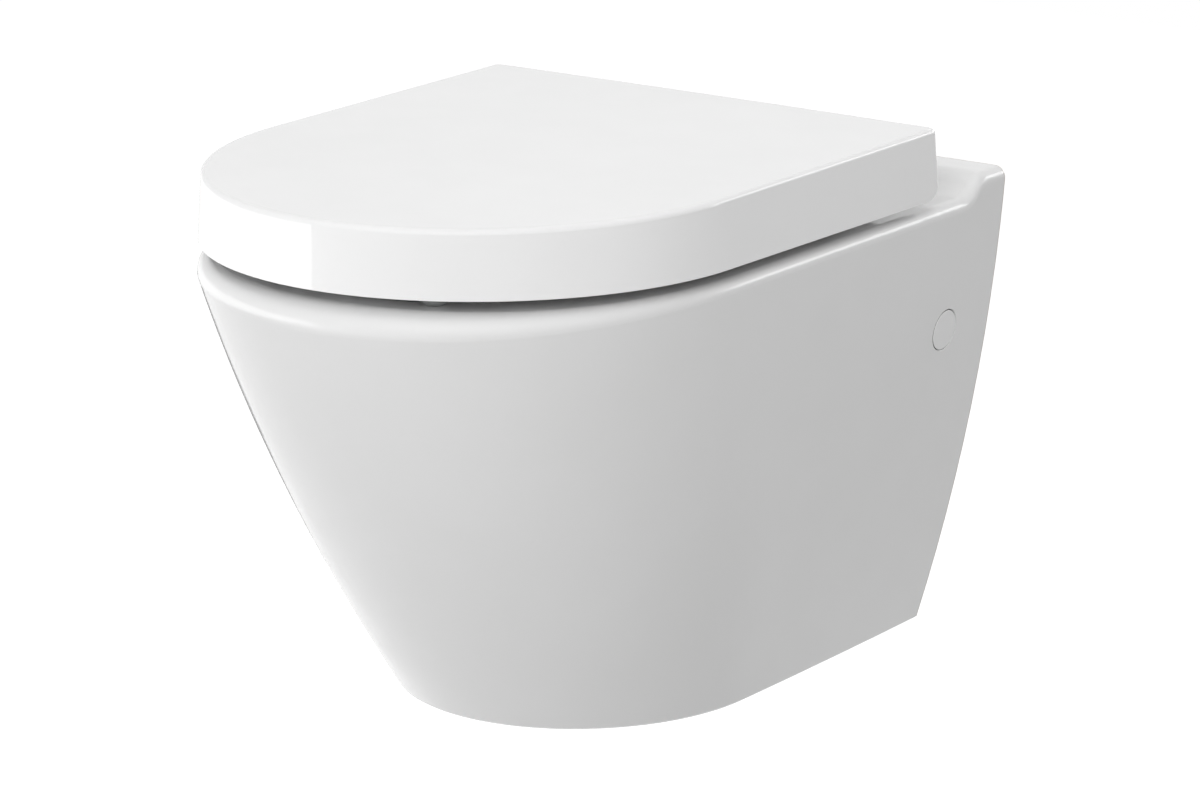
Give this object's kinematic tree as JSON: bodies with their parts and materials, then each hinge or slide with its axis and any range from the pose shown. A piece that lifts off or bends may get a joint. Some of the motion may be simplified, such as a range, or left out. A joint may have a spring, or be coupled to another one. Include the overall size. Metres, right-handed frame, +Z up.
{
  "type": "wall hung toilet",
  "caption": "Wall hung rimless toilet pan with hidden side fixings, and a wrap-over lid and seat ring on lift-off soft-close hinges.",
  "frame": {"origin": "on the wall face, on the centre line, at the height of the two wall studs", "axes": "+X towards the pan's right flank as seen from the wall's face side with the front at -Y, +Y into the wall, +Z up"},
  "size_m": [0.3608, 0.5214, 0.363],
  "materials": {
    "vitreous_china": "white glaze",
    "duroplast": "white, high gloss",
    "cap_plastic": "white, gloss",
    "white_plastic": "satin nylon",
    "grey_plastic": "satin acetal",
    "soft_rubber": "translucent white elastomer",
    "black_rubber": "matt",
    "stainless": "brushed stainless",
    "chrome_plate": "chrome-plated zinc",
    "zinc_steel": "zinc-plated"
  },
  "bodies": {
    "pan": {"pan_shell": "vitreous_china", "bowl": "vitreous_china", "trapway": "vitreous_china", "flush_inlet": "vitreous_china", "flow_ring": "white_plastic", "wall_bracket_left": "zinc_steel", "wall_bracket_right": "zinc_steel", "side_bush_left": "white_plastic", "side_bush_right": "white_plastic", "side_cap_left": "cap_plastic", "side_cap_right": "cap_plastic", "hinge_post_left": "stainless", "hinge_post_right": "stainless", "side_screws": "stainless", "stud_washers": "zinc_steel", "stud_nuts": "zinc_steel", "bearing_pads": "black_rubber", "post_gaskets": "black_rubber", "expansion_plugs": "black_rubber", "plug_nuts": "stainless", "post_bolts": "stainless"},
    "seat_hinges": {"hinge_block_left": "chrome_plate", "hinge_block_right": "chrome_plate", "soft_close_damper_left": "grey_plastic", "soft_close_damper_right": "grey_plastic", "hinge_pin_left": "stainless", "hinge_pin_right": "stainless"},
    "button_right": {"release_button_right": "grey_plastic", "button_spring_right": "stainless"},
    "button_left": {"release_button_left": "grey_plastic", "button_spring_left": "stainless"},
    "seat_ring": {"seat_ring": "duroplast", "ring_buffers": "soft_rubber"},
    "lid": {"lid": "duroplast", "lid_buffers": "soft_rubber"}
  },
  "joints": [
    {"name": "seat_lift_off", "type": "slide", "parent": "pan", "child": "seat_hinges", "axis": [0, 0, 1], "range_m": [0, 0.02]},
    {"name": "ring_hinge", "type": "hinge", "parent": "seat_hinges", "child": "seat_ring", "pos_m": [0, -0.1, 0.118], "axis": [-1, 0, 0], "range_deg": [0, 93]},
    {"name": "lid_hinge", "type": "hinge", "parent": "seat_ring", "child": "lid", "pos_m": [0, -0.1, 0.118], "axis": [1, 0, 0], "range_deg": [-96, 0]},
    {"name": "press_button_right", "type": "slide", "parent": "seat_hinges", "child": "button_right", "axis": [0, -1, 0], "range_m": [0, 0.0025], "stiffness_N_per_m": 400, "springref_m": -0.001, "deforming": ["button_spring_right"]},
    {"name": "press_button_left", "type": "slide", "parent": "seat_hinges", "child": "button_left", "axis": [0, -1, 0], "range_m": [0, 0.0025], "stiffness_N_per_m": 400, "springref_m": -0.001, "deforming": ["button_spring_left"]}
  ]
}
